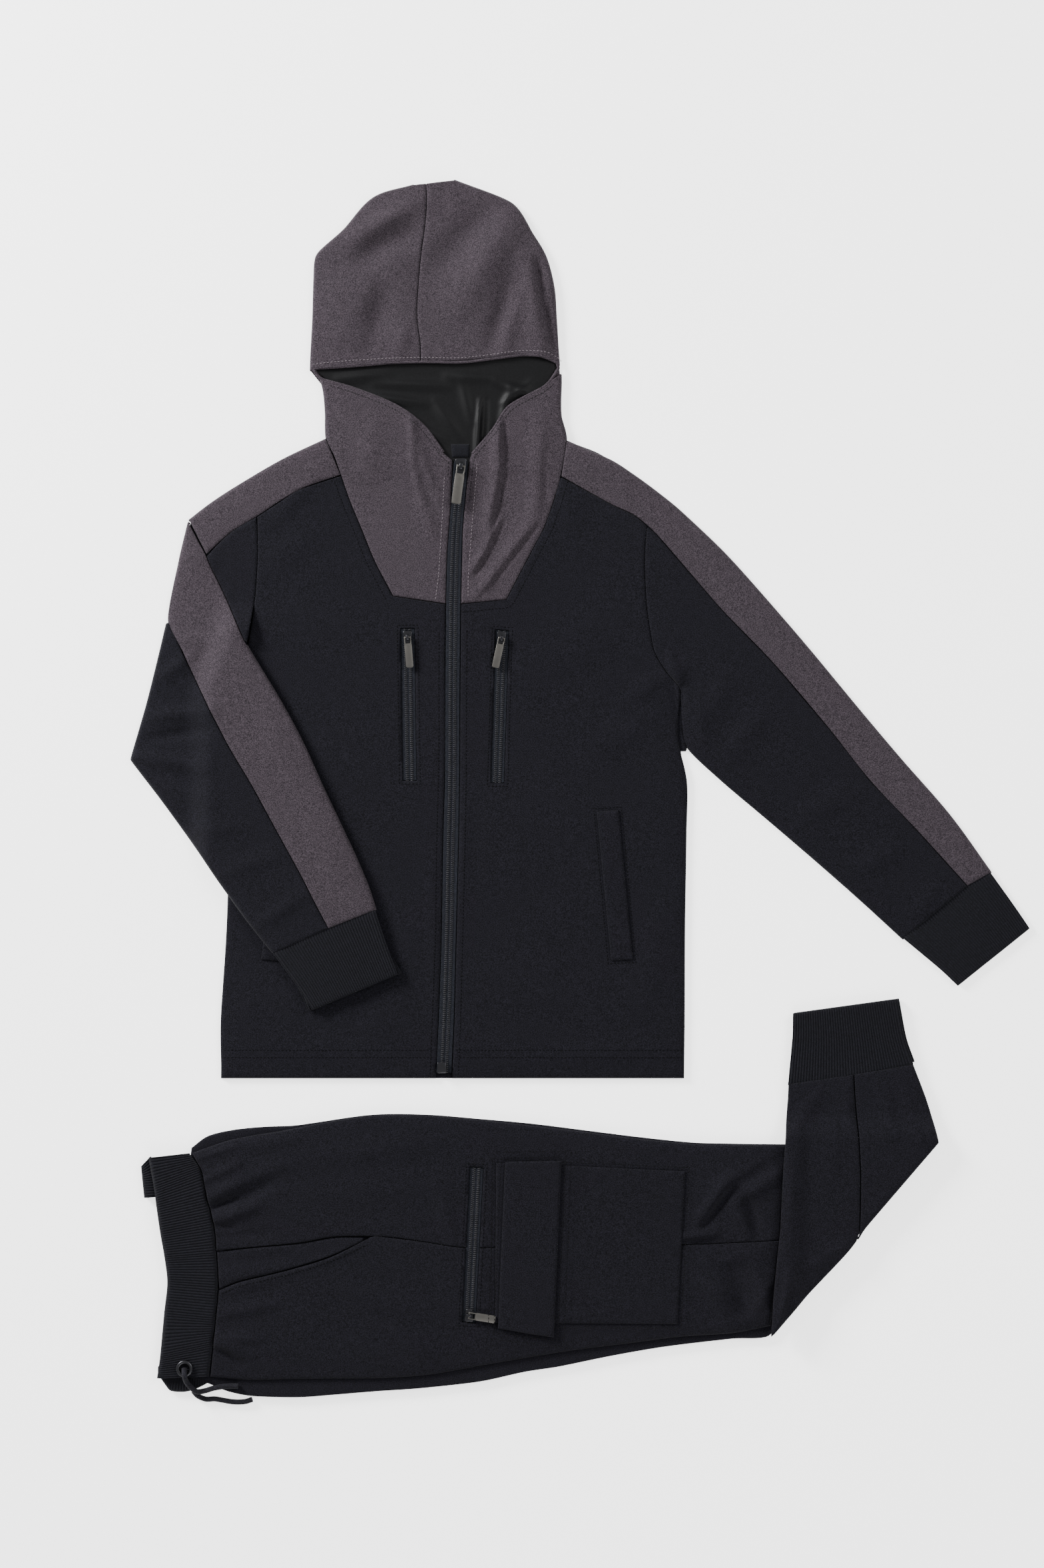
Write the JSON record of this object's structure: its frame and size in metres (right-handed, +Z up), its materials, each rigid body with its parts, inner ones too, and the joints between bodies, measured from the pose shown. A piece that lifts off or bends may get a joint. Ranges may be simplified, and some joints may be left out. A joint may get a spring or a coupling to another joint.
{
  "type": "child's tracksuit, hooded zip jacket and joggers laid flat",
  "caption": "Child's tracksuit laid flat: hooded zip jacket with grey hood, yoke and sleeve stripes, and black side-folded joggers with a thigh zip and cargo pocket.",
  "frame": {"origin": "centre of the pair's bounding box, on the surface that it lies on", "axes": "+Z up from the surface, +Y from the joggers to the jacket's hood, +X to the right seen from above"},
  "size_m": [0.7436, 1.0122, 0.0195],
  "materials": {
    "grey_cloth": "matt sweatshirt cloth, dark taupe grey",
    "black_cloth": "matt sweatshirt cloth, black",
    "black_rib": "rib knit, black",
    "lining": "smooth lining with a sheen, black",
    "zip_tape": "woven tape with coil teeth, black",
    "gunmetal": "satin gunmetal",
    "cord": "braided cord, black"
  },
  "bodies": {
    "garments": {"hood_right": "grey_cloth", "hood_left": "grey_cloth", "crown_right": "grey_cloth", "crown_left": "grey_cloth", "hood_back": "grey_cloth", "stripe_left": "grey_cloth", "shoulder_right": "grey_cloth", "stripe_right": "grey_cloth", "jacket_back": "black_cloth", "front_left": "black_cloth", "front_right": "black_cloth", "sleeve_left_front": "black_cloth", "sleeve_left_back": "black_cloth", "sleeve_right_front": "black_cloth", "sleeve_right_back": "black_cloth", "sleeve_right_under": "black_cloth", "leg_back": "black_cloth", "leg_front": "black_cloth", "hip_pocket": "black_cloth", "shin_back": "black_cloth", "shin_front": "black_cloth", "hidden_layers": "black_cloth", "folded_layers": "black_cloth", "welt_left": "black_cloth", "welt_right": "black_cloth", "cargo_pocket": "black_cloth", "cargo_flap": "black_cloth", "cuff_left": "black_rib", "cuff_left_under": "black_rib", "cuff_right": "black_rib", "cuff_right_under": "black_rib", "ankle_cuff": "black_rib", "ankle_cuff_under": "black_rib", "waistband": "black_rib", "waistband_far": "black_rib", "hood_lining": "lining", "neck_label": "lining", "main_zip": "zip_tape", "chest_zip_right": "zip_tape", "chest_zip_left": "zip_tape", "thigh_zip": "zip_tape", "slider_main": "gunmetal", "slider_chest_right": "gunmetal", "slider_chest_left": "gunmetal", "slider_thigh": "gunmetal", "bottom_box": "gunmetal", "eyelet": "gunmetal", "drawstring_near": "cord", "drawstring_far": "cord"},
    "main_pull": {"pull_main": "gunmetal"},
    "chest_right_pull": {"pull_chest_right": "gunmetal"},
    "chest_left_pull": {"pull_chest_left": "gunmetal"},
    "thigh_pull": {"pull_thigh": "gunmetal"}
  },
  "joints": [
    {"name": "main_pull_hinge", "type": "hinge", "parent": "garments", "child": "main_pull", "pos_m": [-0.0987, 0.2665, 0.01133], "axis": [-0.991, 0.134, 0], "range_deg": [0, 150]},
    {"name": "chest_right_pull_hinge", "type": "hinge", "parent": "garments", "child": "chest_right_pull", "pos_m": [-0.143, 0.1253, 0.00876], "axis": [-0.9968, -0.0802, 0], "range_deg": [0, 150]},
    {"name": "chest_left_pull_hinge", "type": "hinge", "parent": "garments", "child": "chest_left_pull", "pos_m": [-0.0652, 0.1247, 0.00876], "axis": [-0.9781, 0.2079, 0], "range_deg": [0, 150]},
    {"name": "thigh_pull_hinge", "type": "hinge", "parent": "garments", "child": "thigh_pull", "pos_m": [-0.0921, -0.4338, 0.01246], "axis": [-0.1564, -0.9877, 0], "range_deg": [0, 150]}
  ]
}
